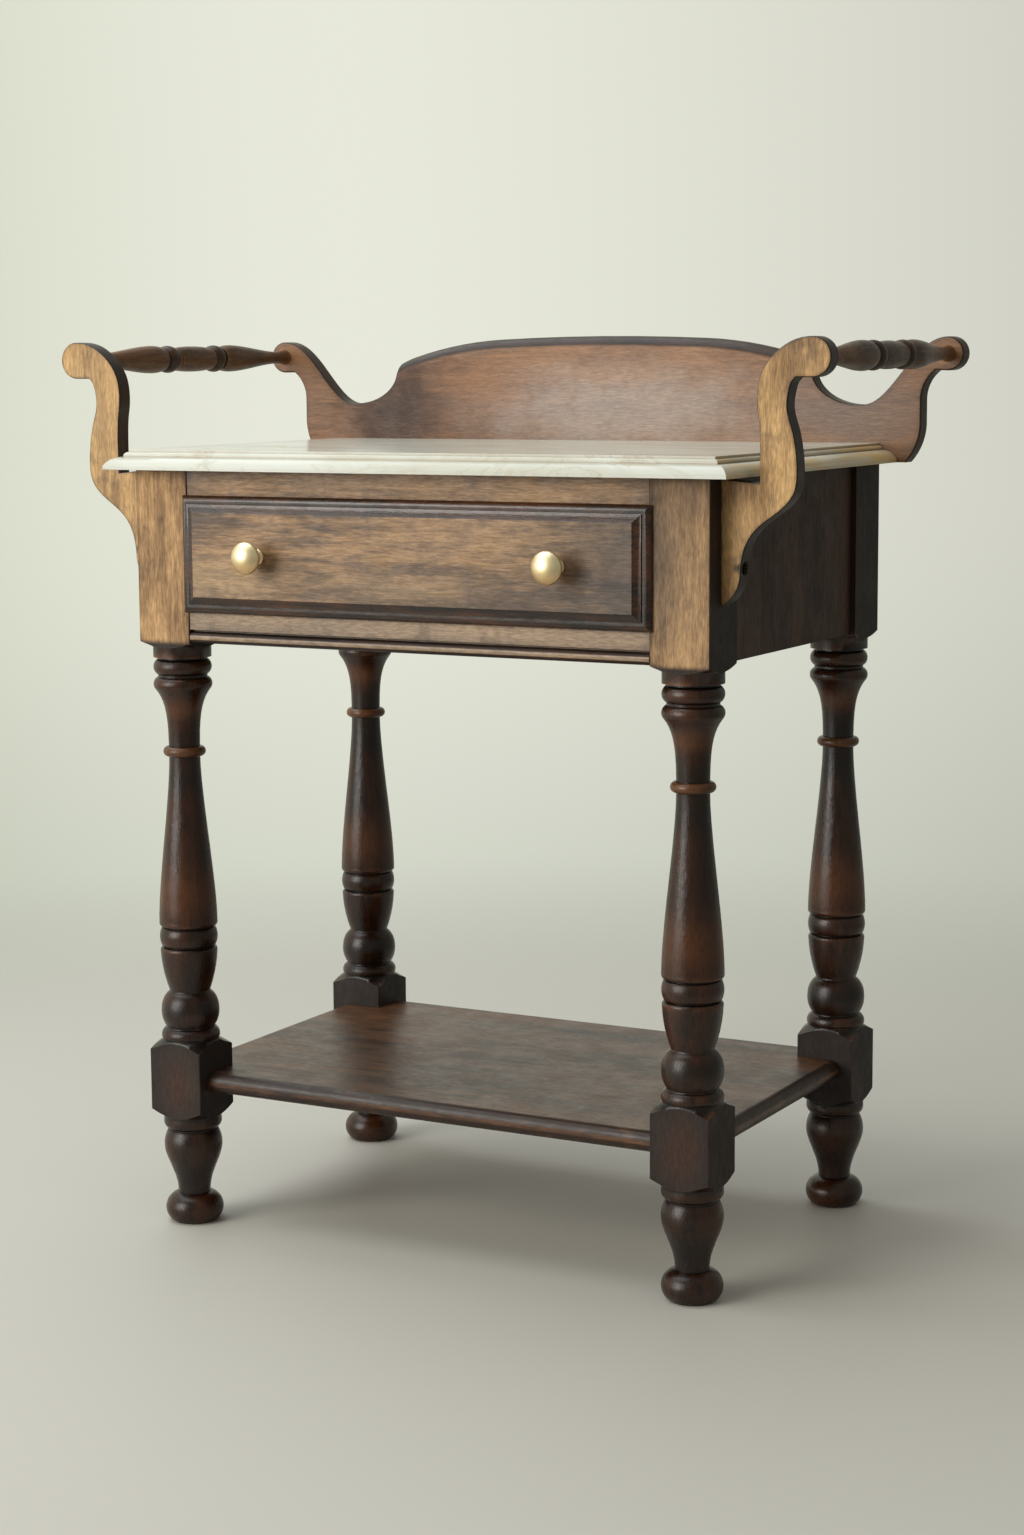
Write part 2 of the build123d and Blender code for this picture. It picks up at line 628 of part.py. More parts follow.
with BuildPart() as marble_top:
    with BuildSketch(upright(0, marble_front, top_height)):
        add(marble_section(marble_half))
        mirror(about=Plane.YZ)
    extrude(amount=-marble_depth)
    with BuildSketch(Plane(origin=(-marble_half, board_front, top_height), x_dir=(0, -1, 0),
                           z_dir=(-1, 0, 0))):
        add(marble_section(marble_depth))
    extrude(amount=-2 * marble_half, mode=Mode.INTERSECT)
keep(marble_top, "marble_top")

# ---------------------------------------------------------------- splashback
notch_foot = half_width - arch_corner_inset
crown_end = notch_foot - crown_reach
corner_x = notch_foot - 2.5
crown_low = top_height + arch_rise - wall_drop


def board_outline():
    """Half outline of the splashback: arched crown, notch, horn with its scroll, and curved foot."""
    notch_low = arch_rise - notch_drop
    notch_x = notch_foot + notch_width
    throat = horn_rise - horn_throat
    scroll_low = horn_rise - horn_radius
    scroll_top = horn_rise + horn_radius
    with BuildSketch() as outline:
        with BuildLine():
            Line((0, 0), (0, arch_rise))
            crown = TangentArc((0, arch_rise), (crown_end, arch_rise - crown_drop), tangent=(1, 0))
            flank = TangentArc(crown @ 1, (notch_foot - flank_reach, arch_rise - flank_drop),
                               tangent=crown % 1)
            corner = TangentArc(flank @ 1, (corner_x, arch_rise - corner_drop), tangent=flank % 1)
            Line(corner @ 1, (notch_foot, arch_rise - wall_drop))
            Bezier((notch_foot, arch_rise - wall_drop), (notch_foot + 2.8, arch_rise - wall_drop - 13.5),
                   (notch_x - 30, notch_low), (notch_x, notch_low))
            Bezier((notch_x, notch_low), (notch_x + notch_pull, notch_low),
                   (horn_x - horn_pull, scroll_top), (horn_x, scroll_top))
            ThreePointArc((horn_x, scroll_top), (horn_x + horn_radius, horn_rise), (horn_x, scroll_low))
            Line((horn_x, scroll_low), (horn_x - 12, scroll_low + 0.4))
            ThreePointArc((horn_x - 12, scroll_low + 0.4), (horn_x - 22.5, throat + 18),
                          (horn_x - horn_waist, throat))
            Line((horn_x - horn_waist, throat), (horn_x - horn_waist, horn_belly))
            ThreePointArc((horn_x - horn_waist, horn_belly), (horn_x - horn_waist - 4, horn_belly / 2),
                          (horn_x - horn_foot, 0))
            Line((horn_x - horn_foot, 0), (0, 0))
        make_face()
    return outline.sketch


with BuildPart() as splashback:
    with BuildSketch(upright(0, board_front, top_height)):
        add(board_outline())
        mirror(about=Plane.YZ)
    extrude(amount=-board_thickness)
    front_edges = splashback.edges().group_by(Axis.Y)[0]
    crown_edges = front_edges.filter_by(GeomType.CIRCLE).filter_by_position(Axis.X, -corner_x, corner_x)
    fillet(crown_edges.filter_by_position(Axis.Z, crown_low, crown_low + arch_rise), arch_roundover)
    for side in (-1, 1):
        front_edges = splashback.edges().group_by(Axis.Y)[0]
        horn_edges = front_edges.filter_by_position(Axis.X, *sorted((side * notch_foot, side * arm_x)))
        fillet(horn_edges.filter_by_position(Axis.Z, top_height + 1, top_height + arch_rise), board_ease)
    for side in (-1, 1):
        dowel_hole((side * leg_x, board_mid_y, top_height), (0, 0, 1), dowel_half_length + end_gap)
        dowel_hole((side * horn_x, board_front, top_height + horn_rise), (0, 1, 0),
                   bar_tenon_length + end_gap, bar_tenon_diameter + 2 * shaft_gap)
keep(splashback, "splashback")

# ---------------------------------------------------------------- towel arms


def arm_outline():
    """Outline of a towel arm, from the face of the leg (X) and the top of the leg (Y)."""
    scroll_x = arm_inner + arm_scroll_offset
    scroll_top = arm_scroll_rise + arm_scroll_radius
    scroll_low = arm_scroll_rise - arm_scroll_radius
    tail_top = arm_tail_round - arm_tail_drop
    elbow = -arm_elbow_drop
    with BuildSketch() as outline:
        with BuildLine():
            tip = ThreePointArc((0, -arm_tail_drop), (arm_tail_width * 0.71, 11.7 - arm_tail_drop),
                                (arm_tail_width, tail_top))
            Spline(tip @ 1, (arm_tail_width + 2.5, tail_top + 18), (arm_inner - 9.8, elbow - 11.2),
                   (arm_inner, elbow), (arm_outer - 16, elbow + 14.4), (arm_outer - 3, -13.6),
                   (arm_outer, 6), (arm_outer - 6, arm_waist_rise * 0.67),
                   (arm_outer - 9.9, arm_waist_rise - 4), (arm_outer - 6.7, scroll_low - 6),
                   (arm_outer - 2, scroll_low),
                   tangents=(tip % 1, (0.7, 0.7)))
            Line((arm_outer - 2, scroll_low), (scroll_x, scroll_low))
            ThreePointArc((scroll_x, scroll_low), (scroll_x + arm_scroll_radius, arm_scroll_rise),
                          (scroll_x, scroll_top))
            Spline((scroll_x, scroll_top), (arm_inner + 17.6, scroll_top - 10.8),
                   (arm_inner - 1.3, arm_waist_rise + 16.4), (arm_inner - 3, arm_waist_rise - 6),
                   (arm_inner, marble_thickness), tangents=((-1, 0), (0, -1)))
            Polyline((arm_inner, marble_thickness), (arm_inner, -5), (0, -1.5), (0, -arm_tail_drop))
        make_face()
    return outline.sketch


with BuildPart() as arm_right:
    with BuildSketch(upright(half_width, arm_front, top_height)):
        add(arm_outline())
    extrude(amount=-arm_thickness)
    for group in (0, -1):
        face_edges = arm_right.edges().group_by(Axis.Y)[group]
        fillet(face_edges.filter_by_position(Axis.X, half_width + 1, horn_x + leg_stock), arm_ease)
    screw_z = top_height - arm_screw_drop
    dowel_hole((half_width, arm_mid_y, screw_z), (1, 0, 0), arm_tail_width, arm_screw_diameter)
    dowel_hole((half_width + arm_counterbore_reach, arm_mid_y, screw_z), (1, 0, 0), arm_tail_width,
               arm_counterbore_diameter)
    dowel_hole((half_width, arm_mid_y, top_height - arm_dowel_drop), (1, 0, 0), dowel_half_length + end_gap)
    dowel_hole((arm_x, arm_back, top_height + arm_scroll_rise), (0, -1, 0),
               bar_tenon_length + end_gap, bar_tenon_diameter + 2 * shaft_gap)
keep(arm_right, "arm_right")

with BuildPart() as arm_left:
    mirror(arm_right.part, about=Plane.YZ)
keep(arm_left, "arm_left")

with BuildPart() as arm_screws:
    for side in (-1, 1):
        with BuildSketch(Plane(origin=(side * (half_width + arm_counterbore_reach), arm_mid_y, screw_z),
                               z_dir=(-side, 0, 0))):
            Circle(arm_screw_diameter / 2 - shaft_gap)
        extrude(amount=arm_counterbore_reach + arm_screw_depth)
        with BuildSketch(Plane(origin=(side * (half_width + arm_counterbore_reach), arm_mid_y, screw_z),
                               z_dir=(side, 0, 0))):
            Circle(arm_counterbore_diameter / 2 - screw_head_gap)
        extrude(amount=screw_head_thickness)
keep(arm_screws, "arm_screws")

# ---------------------------------------------------------------- towel bars
bar_front = Vector(arm_x, arm_back, top_height + arm_scroll_rise)
bar_rear = Vector(horn_x, board_front, top_height + horn_rise)
bar_run = bar_rear - bar_front
bar_half = bar_run.length / 2
bar_quirk_radius = bar_radius - 3.4


def bar_outline():
    """Half outline of a towel bar from its middle: barrel, fillet, ring, long bulb, neck and flare."""
    end = bar_half + 1
    barrel_end = bar_barrel_radius - 1.5
    fillet_end = bar_barrel_half + 4
    ring = fillet_end + 0.7
    ring_end = ring + bar_ring_width
    ring_edge = bar_radius - 2
    bulb_radius = bar_radius - 2.2
    with BuildSketch() as outline:
        with BuildLine():
            ThreePointArc((bar_barrel_radius, 0), (bar_barrel_radius - 0.38, bar_barrel_half / 2),
                          (barrel_end, bar_barrel_half))
            Polyline((barrel_end, bar_barrel_half), (bar_quirk_radius, bar_barrel_half),
                     (bar_quirk_radius, bar_barrel_half + 0.8), (barrel_end - 0.2, bar_barrel_half + 0.8),
                     (barrel_end - 0.2, fillet_end), (bar_quirk_radius, fillet_end),
                     (bar_quirk_radius, ring), (ring_edge, ring + 0.6))
            ThreePointArc((ring_edge, ring + 0.6), (bar_radius, ring + bar_ring_width / 2),
                          (ring_edge, ring_end - 0.6))
            Polyline((ring_edge, ring_end - 0.6), (bar_quirk_radius, ring_end),
                     (bar_quirk_radius, bar_bulb_start), (bulb_radius, bar_bulb_start))
            ThreePointArc((bulb_radius, bar_bulb_start),
                          (bar_radius - 0.6, (bar_bulb_start + bar_bulb_widest) / 2 - 0.7),
                          (bar_radius, bar_bulb_widest))
            Bezier((bar_radius, bar_bulb_widest), (bar_radius, bar_bulb_widest + bar_bulb_pull),
                   (bar_neck_radius + 0.8, end - 2 * bar_neck_length - 2),
                   (bar_neck_radius, end - bar_neck_length))
            Bezier((bar_neck_radius, end - bar_neck_length),
                   (bar_neck_radius - 0.3, end - bar_neck_length + 9),
                   (bar_neck_radius + 0.5, end - 5), (bar_neck_radius + 2, end))
            Polyline((bar_neck_radius + 2, end), (0, end), (0, 0), (bar_barrel_radius, 0))
        make_face()
        mirror(about=Plane.XZ)
    return outline.sketch


with BuildPart() as towel_bar_right:
    bar_middle = (bar_front + bar_rear) / 2
    with BuildSketch(Plane(origin=bar_middle, x_dir=bar_run.cross(Vector(0, 0, 1)),
                           z_dir=bar_run.cross(Vector(0, 0, 1)).cross(bar_run))):
        add(bar_outline())
    revolve(axis=Axis(bar_middle, bar_run))
    split(bisect_by=Plane(origin=bar_front, z_dir=(0, 1, 0)), keep=Keep.TOP)
    split(bisect_by=Plane(origin=bar_rear, z_dir=(0, 1, 0)), keep=Keep.BOTTOM)
    with BuildSketch(Plane(origin=bar_front, z_dir=(0, -1, 0))):
        Circle(bar_tenon_diameter / 2)
    extrude(amount=bar_tenon_length)
    with BuildSketch(Plane(origin=bar_rear, z_dir=(0, 1, 0))):
        Circle(bar_tenon_diameter / 2)
    extrude(amount=bar_tenon_length)
keep(towel_bar_right, "towel_bar_right")

with BuildPart() as towel_bar_left:
    mirror(towel_bar_right.part, about=Plane.YZ)
keep(towel_bar_left, "towel_bar_left")

# ---------------------------------------------------------------- shelf
shelf_base = lower_block_base + shelf_rise
shelf_half = half_width - shelf_setback
shelf_front = front_y + shelf_setback
shelf_back = back_y - shelf_setback
with BuildPart() as shelf:
    with Locations((0, (shelf_front + shelf_back) / 2, shelf_mid_z)):
        Box(2 * shelf_half, shelf_back - shelf_front, shelf_thickness)
    fillet(shelf.edges().filter_by(Axis.Z, reverse=True), shelf_nose_radius)
    for side in (-1, 1):
        for leg_y in (front_leg_y, rear_leg_y):
            mortise((side * leg_x, leg_y, shelf_mid_z), (leg_stock, leg_stock, 2 * shelf_thickness), 0)
            dowel_hole((side * inner_half, leg_y, shelf_mid_z), (-side, 0, 0), dowel_half_length + end_gap)
keep(shelf, "shelf")

# ---------------------------------------------------------------- dowels


def dowel(seat, direction):
    """Dowel that stands on the bottom of its hole."""
    with Locations(Plane(origin=seat, z_dir=direction).location):
        Cylinder(dowel_diameter / 2 - dowel_gap, 2 * dowel_half_length,
                 align=(Align.CENTER, Align.CENTER, Align.MIN))


with BuildPart() as shelf_dowels:
    for side in (-1, 1):
        for leg_y in (front_leg_y, rear_leg_y):
            dowel((side * (inner_half + dowel_half_length), leg_y, shelf_mid_z), (-side, 0, 0))
keep(shelf_dowels, "shelf_dowels")

with BuildPart() as arm_dowels:
    for side in (-1, 1):
        dowel((side * (half_width - dowel_half_length), arm_mid_y, top_height - arm_dowel_drop),
              (side, 0, 0))
keep(arm_dowels, "arm_dowels")

with BuildPart() as splashback_dowels:
    for side in (-1, 1):
        dowel((side * leg_x, board_mid_y, top_height - dowel_half_length), (0, 0, 1))
keep(splashback_dowels, "splashback_dowels")
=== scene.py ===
import json
from math import radians

import bmesh
import bpy
from mathutils import Euler, Matrix, Vector


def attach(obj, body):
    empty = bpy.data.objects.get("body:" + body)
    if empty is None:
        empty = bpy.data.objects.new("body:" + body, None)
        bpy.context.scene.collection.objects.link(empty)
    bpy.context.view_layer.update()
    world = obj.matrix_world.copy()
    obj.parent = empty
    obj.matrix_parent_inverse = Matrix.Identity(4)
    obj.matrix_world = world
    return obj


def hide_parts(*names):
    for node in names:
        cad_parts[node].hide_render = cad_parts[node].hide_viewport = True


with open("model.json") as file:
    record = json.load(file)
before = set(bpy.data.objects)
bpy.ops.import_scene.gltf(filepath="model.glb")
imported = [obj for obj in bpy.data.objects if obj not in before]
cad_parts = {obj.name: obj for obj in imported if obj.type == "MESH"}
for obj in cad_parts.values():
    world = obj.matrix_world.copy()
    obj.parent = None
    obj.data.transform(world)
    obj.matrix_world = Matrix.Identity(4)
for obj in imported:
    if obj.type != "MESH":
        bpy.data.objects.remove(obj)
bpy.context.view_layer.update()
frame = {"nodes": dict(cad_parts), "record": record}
nodes = frame["nodes"]
scene = bpy.context.scene
print("frame loaded:", len(nodes), "nodes")


# node helpers; a value is a plain one or another node's socket
def feed(tree, socket, value):
    if isinstance(value, bpy.types.NodeSocket):
        tree.links.new(value, socket)
    else:
        socket.default_value = value


def addNode(tree, kind, settings=None, **sockets):
    # n0, n1 ... name a socket by its place, other names by its name
    node = tree.nodes.new(kind)
    for key, value in (settings or {}).items():
        setattr(node, key, value)
    for key, value in sockets.items():
        numbered = key[0] == "n" and key[1:].isdigit()
        feed(tree, node.inputs[int(key[1:]) if numbered else key], value)
    return node


def mixColors(tree, factor, first, second, mode="MIX"):
    # a Mix node has its colors at inputs 6 and 7 and output 2
    mix = addNode(tree, "ShaderNodeMix", {"data_type": "RGBA", "blend_type": mode}, n0=factor)
    for index, color in ((6, first), (7, second)):
        feed(tree, mix.inputs[index], color if isinstance(color, bpy.types.NodeSocket) else (*color, 1))
    return mix.outputs[2]


def combine(tree, operation, first, second=0.0, clamp=False):
    settings = {"operation": operation, "use_clamp": clamp}
    return addNode(tree, "ShaderNodeMath", settings, n0=first, n1=second).outputs[0]


def times(tree, *values):
    product = values[0]
    for value in values[1:]:
        product = combine(tree, "MULTIPLY", product, value)
    return product


def blend(tree, *parts):
    # the sum of several values, each with its weight
    total = times(tree, *parts[0])
    for part in parts[1:]:
        total = combine(tree, "ADD", total, times(tree, *part))
    return total


def fade(tree, value, low, high, newLow=0.0, newHigh=1.0):
    # a value between low and high, spread smoothly over newLow to newHigh
    return addNode(tree, "ShaderNodeMapRange", {"interpolation_type": "SMOOTHSTEP"}, Value=value,
                   n1=low, n2=high, n3=newLow, n4=newHigh).outputs[0]


def stretched(tree, coordinates, scale):
    return addNode(tree, "ShaderNodeMapping", Vector=coordinates, Scale=scale).outputs[0]


def noise(tree, coordinates, scale=1.0, detail=3.0, roughness=0.5, distortion=0.0):
    return addNode(tree, "ShaderNodeTexNoise", Vector=coordinates, Scale=scale, Detail=detail,
                   Roughness=roughness, Distortion=distortion).outputs["Fac"]


def openness(tree, reach, inside=False):
    # 1 on a flat, less in a groove within reach or, inside, on an arris
    settings = {"samples": 6, "inside": inside, "only_local": True}
    return addNode(tree, "ShaderNodeAmbientOcclusion", settings, Distance=reach).outputs["AO"]


def between(tree, value, low, high):
    # 1 from low to high, with crisp ends
    outside, inside = 0.0006, 0.0002
    return times(tree, fade(tree, value, low - outside, low + inside),
                 fade(tree, value, high + outside, high - inside))


def patch(tree, place, ragged, center, size):
    # 1 at the center of an oval spot, 0 at its ragged rim
    raggedness, rim, core = 0.9, 1.45, 0.55
    across = addNode(tree, "ShaderNodeVectorMath", {"operation": "SUBTRACT"}, n0=place, n1=center).outputs[0]
    across = addNode(tree, "ShaderNodeVectorMath", {"operation": "DIVIDE"}, n0=across, n1=size).outputs[0]
    length = addNode(tree, "ShaderNodeVectorMath", {"operation": "LENGTH"}, n0=across).outputs["Value"]
    return fade(tree, combine(tree, "ADD", length, times(tree, ragged, raggedness)), rim, core)


def startMaterial(name):
    material = bpy.data.materials.new(name)
    material.use_nodes = True
    tree = material.node_tree
    return material, tree, tree.nodes["Principled BSDF"], addNode(tree, "ShaderNodeTexCoord").outputs


def setShader(tree, shader, values):
    for key, value in values.items():
        feed(tree, shader.inputs[key], value)


# stained wood: how far the grain and its flecks are drawn out along each axis
grainScale = {"x": (0.1, 1, 1), "y": (1, 0.1, 1), "z": (1, 1, 0.1)}
fleckScale = {"x": (0.22, 1, 1), "y": (1, 0.22, 1), "z": (1, 1, 0.22)}
# scale, detail, roughness and distortion of each noise
woodNoise = {"bands": (90.0, 4, 0.6, 0.2), "streaks": (330.0, 3, 0.6), "fibres": (1000.0, 2, 0.6),
             "mottle": (110.0, 3, 0.6), "flecks": (460.0, 3, 0.65), "smudges": (34.0, 4, 0.62),
             "gaps": (70.0, 4, 0.65)}
# where each effect fades in, then its least and most where they aren't 0 and 1 or the look's own
woodFades = {"fine": (0.38, 0.62, -1.0, 1.0), "flatFace": (0.985, 0.998), "frontFace": (-0.9, -0.985),
             "rim": (0.92, 0.5), "rimGaps": (0.36, 0.6, 0.35, 1.0), "smudges": (0.56, 0.7, 0.0),
             "rub": (0.97, 0.55), "rubPatches": (0.45, 0.58), "hollows": (0.95, 0.58, 0.0),
             "arrises": (0.85, 0.5), "arrisGaps": (0.42, 0.62, 0.08), "sheen": (0.4, 0.6)}
# what a look has unless it says otherwise
usualLook = {"cloudScale": 17.0, "toneSpan": (0.38, 0.61), "flatAxes": "XYZ", "edgeReach": 0.009,
             "rimStrength": 0.5, "smudgeStrength": 0.35, "fleckStrength": 0.22, "roughness": 0.42,
             "duller": 0.06, "shinier": 0.05, "flatRough": 0.0, "gloss": 0.35, "bump": 0.12}
bumpDepth = 0.0003


def stainedWood(name, look):
    # a dark stain, rubbed back to tan on front faces, with glaze in the hollows and bare arrises
    look = {**usualLook, **look}
    material, tree, shader, coordinates = startMaterial(name)
    place = coordinates["Object"]
    parts = addNode(tree, "ShaderNodeSeparateXYZ", Vector=place).outputs
    facing = addNode(tree, "ShaderNodeSeparateXYZ", Vector=coordinates["Normal"]).outputs
    along = stretched(tree, place, grainScale[look["grain"]])
    short = stretched(tree, place, fleckScale[look["grain"]])
    clouds = noise(tree, short, look["cloudScale"], detail=4, roughness=0.6, distortion=0.2)
    bands, streaks, fibres = [noise(tree, along, *woodNoise[key]) for key in ("bands", "streaks", "fibres")]
    mottle, flecks = [noise(tree, short, *woodNoise[key]) for key in ("mottle", "flecks")]
    smudges, gaps = [noise(tree, place, *woodNoise[key]) for key in ("smudges", "gaps")]
    tone = blend(tree, (clouds, 0.42), (bands, 0.2), (mottle, 0.14), (streaks, 0.24))
    tone = fade(tree, tone, *look["toneSpan"])
    fine = fade(tree, blend(tree, (flecks, 0.45), (fibres, 0.55)), *woodFades["fine"])

    # flat faces look along an axis; a turned piece has them only between the heights of its blocks
    tilt = 0.0
    for axis in look["flatAxes"]:
        tilt = combine(tree, "MAXIMUM", tilt, combine(tree, "ABSOLUTE", facing[axis]))
    flat = fade(tree, tilt, *woodFades["flatFace"])
    if "blocks" in look:
        within = 0.0
        for low, high in look["blocks"]:
            within = combine(tree, "MAXIMUM", within, between(tree, parts["Z"], low, high))
        flat = times(tree, flat, within)
    curved = combine(tree, "SUBTRACT", 1.0, flat)
    edge = openness(tree, look["edgeReach"], True)

    # the stain, darker on some forms and rubbed back at the front
    color = mixColors(tree, tone, look["darkLow"], look["darkHigh"])
    if "flatShare" in look:
        color = mixColors(tree, times(tree, flat, look["flatShare"]), color, look["flatColor"])
    if "roundDark" in look:
        color = mixColors(tree, times(tree, curved, look["roundDark"]), color, look["darkLow"])
    front = 0.0
    if "rubbedHigh" in look:
        depth, blur = look["rubbedPlane"]
        front = fade(tree, facing["Y"], *woodFades["frontFace"])
        front = times(tree, front, fade(tree, parts["Y"], depth + blur, depth))
        if "rubbedAbove" in look:
            height, blur = look["rubbedAbove"]
            front = times(tree, front, fade(tree, parts["Z"], height - blur, height + blur))
        color = mixColors(tree, front, color, mixColors(tree, tone, look["rubbedLow"], look["rubbedHigh"]))

    # spots and rings of another tone, a few of them painted shade, painted light and a painted reflection as the looks
    # note, then smudges, dark rims round flat faces and fine flecks
    marks = [(spot, front) for spot in look.get("frontSpots", ())]
    marks += [(spot, 1.0) for spot in look.get("spots", ())]
    for (spotColor, strength, center, size), mask in marks:
        spot = times(tree, patch(tree, place, smudges, center, size), strength, mask)
        color = mixColors(tree, spot, color, spotColor)
    for ringColor, strength, axis, low, high in look.get("rings", ()):
        ring = times(tree, between(tree, parts[axis], low, high), strength, curved)
        color = mixColors(tree, ring, color, ringColor)
    smudged = fade(tree, smudges, *woodFades["smudges"], look["smudgeStrength"])
    color = mixColors(tree, smudged, color, look["darkHigh"])
    rim = times(tree, flat, fade(tree, edge, *woodFades["rim"]), fade(tree, smudges, *woodFades["rimGaps"]),
                look["rimStrength"])
    color = mixColors(tree, rim, color, look["darkLow"])
    bright = combine(tree, "ADD", times(tree, fine, look["fleckStrength"]), 1.0)
    gray = addNode(tree, "ShaderNodeCombineColor", Red=bright, Green=bright, Blue=bright).outputs[0]
    color = mixColors(tree, 1.0, color, gray, "MULTIPLY")

    # curves rubbed to a warmer tone, then glaze in the hollows and bare wood on the arrises
    if "rub" in look:
        rub = look["rub"]
        patches = fade(tree, blend(tree, (clouds, 0.5), (smudges, 0.5)), *woodFades["rubPatches"],
                       rub["least"], rub["most"])
        rubbed = times(tree, fade(tree, edge, *woodFades["rub"]), curved, patches)
        color = mixColors(tree, rubbed, color, rub["color"])
    glaze, wear = look["glaze"], look["wear"]
    filled = fade(tree, openness(tree, glaze["reach"]), *woodFades["hollows"], glaze["strength"])
    color = mixColors(tree, filled, color, glaze["color"])
    bare = times(tree, fade(tree, openness(tree, wear["reach"], True), *woodFades["arrises"]),
                 fade(tree, gaps, *woodFades["arrisGaps"], wear["strength"]))
    color = mixColors(tree, bare, color, wear["color"])

    rough = fade(tree, blend(tree, (flecks, 0.5), (smudges, 0.5)), *woodFades["sheen"],
                 look["roughness"] + look["duller"], look["roughness"] - look["shinier"])
    rough = combine(tree, "ADD", rough, times(tree, flat, look["flatRough"]))
    bump = addNode(tree, "ShaderNodeBump", Strength=look["bump"], Distance=bumpDepth, Height=fine)
    setShader(tree, shader, {"Base Color": color, "Roughness": rough, "Specular IOR Level": look["gloss"],
                             "Normal": bump.outputs[0]})
    return material


# dressed pieces: a merged copy of the CAD node with its arrises eased
dressing = {"weldReach": 0.00002, "sameFace": radians(0.3), "sharpAngle": radians(32), "bevelSegments": 2,
            "flatWeight": 100}


def bodyOf(node):
    return next(name for name, members in frame["record"]["behaviour"]["bodies"].items() if node in members)


def dress(node, name, material, ease=0.0006):
    mesh = bpy.data.meshes.new(name)
    bm = bmesh.new()
    bm.from_mesh(nodes[node].data)
    bmesh.ops.remove_doubles(bm, verts=bm.verts, dist=dressing["weldReach"])
    bmesh.ops.dissolve_limit(bm, angle_limit=dressing["sameFace"], verts=bm.verts, edges=bm.edges)
    for face in bm.faces:
        face.smooth = True
        face.material_index = 0
    bm.to_mesh(mesh)
    bm.free()
    mesh.materials.append(material)
    mesh.set_sharp_from_angle(angle=dressing["sharpAngle"])
    piece = bpy.data.objects.new(name, mesh)
    scene.collection.objects.link(piece)
    if ease:
        bevel = piece.modifiers.new("easedArris", "BEVEL")
        bevel.width = ease
        bevel.segments = dressing["bevelSegments"]
        bevel.limit_method = "ANGLE"
        bevel.angle_limit = dressing["sharpAngle"]
    flats = piece.modifiers.new("flatFaces", "WEIGHTED_NORMAL")
    flats.keep_sharp = True
    flats.weight = dressing["flatWeight"]
    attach(piece, bodyOf(node))
    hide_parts(node)


sides = ("left", "right")

blackGlaze = (0.004, 0.0025, 0.002)
legLook = {"grain": "z", "darkLow": (0.0065, 0.0024, 0.0012), "darkHigh": (0.048, 0.015, 0.005),
           "blocks": ((0.105, 0.191), (0.58, 0.76)), "flatShare": 0.9, "flatColor": (0.015, 0.0075, 0.0045),
           "flatRough": 0.36, "gloss": 0.42, "roughness": 0.28,
           "rubbedLow": (0.28, 0.155, 0.065), "rubbedHigh": (0.79, 0.47, 0.21),
           "rubbedPlane": (-0.1795, 0.002), "rubbedAbove": (0.587, 0.003),
           "frontSpots": [((0.11, 0.075, 0.052), 0.8, (0.255, -0.182, 0.69), (0.028, 0.05, 0.12)),
                          ((0.17, 0.11, 0.07), 0.6, (0.285, -0.182, 0.745), (0.04, 0.05, 0.035)),
                          ((0.20, 0.135, 0.085), 0.45, (0.28, -0.182, 0.66), (0.06, 0.05, 0.16)),
                          ((0.20, 0.12, 0.06), 0.35, (-0.285, -0.182, 0.66), (0.015, 0.05, 0.05))],
           "spots": [((0.075, 0.025, 0.009), 0.45, (-0.272, -0.1815, 0.145), (0.032, 0.02, 0.05)),
                     ((0.075, 0.025, 0.009), 0.45, (0.278, -0.1815, 0.145), (0.032, 0.02, 0.05)),
                     # the next two bands darken the necks below and above the small ring: glaze and painted shade
                     (blackGlaze, 0.75, (0, 0, 0.452), (9, 9, 0.03)),
                     (blackGlaze, 0.6, (0, 0, 0.49), (9, 9, 0.014)),
                     ((0.15, 0.052, 0.016), 0.5, (0, 0, 0.52), (9, 9, 0.016)),
                     ((0.15, 0.052, 0.016), 0.45, (0, 0, 0.335), (9, 9, 0.04)),
                     (blackGlaze, 0.6, (0, 0, 0.22), (9, 9, 0.012)),
                     (blackGlaze, 0.6, (0, 0, 0.05), (9, 9, 0.02))],
           "rings": [((0.22, 0.09, 0.03), 0.4, "Z", 0.4717, 0.4817),
                     (blackGlaze, 0.85, "Z", 0.107, 0.122), (blackGlaze, 0.85, "Z", 0.174, 0.188)],
           "rub": {"least": 0.05, "most": 0.85, "color": (0.18, 0.066, 0.023)}, "rimStrength": 0.75,
           "glaze": {"reach": 0.009, "strength": 1.0, "color": blackGlaze},
           "wear": {"reach": 0.0016, "strength": 0.55, "color": (0.24, 0.13, 0.055)}}
legWood = stainedWood("legWood", legLook)
for end in ("front", "rear"):
    for side in sides:
        dress(f"leg_{end}_{side}", f"turnedLeg_{end}_{side}", legWood, ease=0)
print("turned legs dressed")

railLook = {"grain": "x", "darkLow": (0.012, 0.006, 0.004), "darkHigh": (0.045, 0.021, 0.012),
            "rubbedLow": (0.18, 0.105, 0.052), "rubbedHigh": (0.49, 0.29, 0.137), "rubbedPlane": (-0.1755, 0.002),
            "frontSpots": [((0.46, 0.35, 0.25), 0.6, (0, 0, 0.60), (9, 9, 0.06)),
                           ((0.09, 0.06, 0.045), 0.5, (-0.24, -0.17, 0.75), (0.05, 0.2, 0.03)),
                           ((0.10, 0.07, 0.05), 0.5, (0.245, -0.17, 0.75), (0.03, 0.2, 0.05))],
            "glaze": {"reach": 0.006, "strength": 0.85, "color": blackGlaze},
            "wear": {"reach": 0.0016, "strength": 0.4, "color": (0.36, 0.21, 0.10)}}
railWood = stainedWood("railWood", railLook)
for node, name in (("top_rail", "topRail"), ("bottom_rail", "bottomRail"), ("rail_bead", "railBead")):
    dress(node, name, railWood, ease=0.0004)

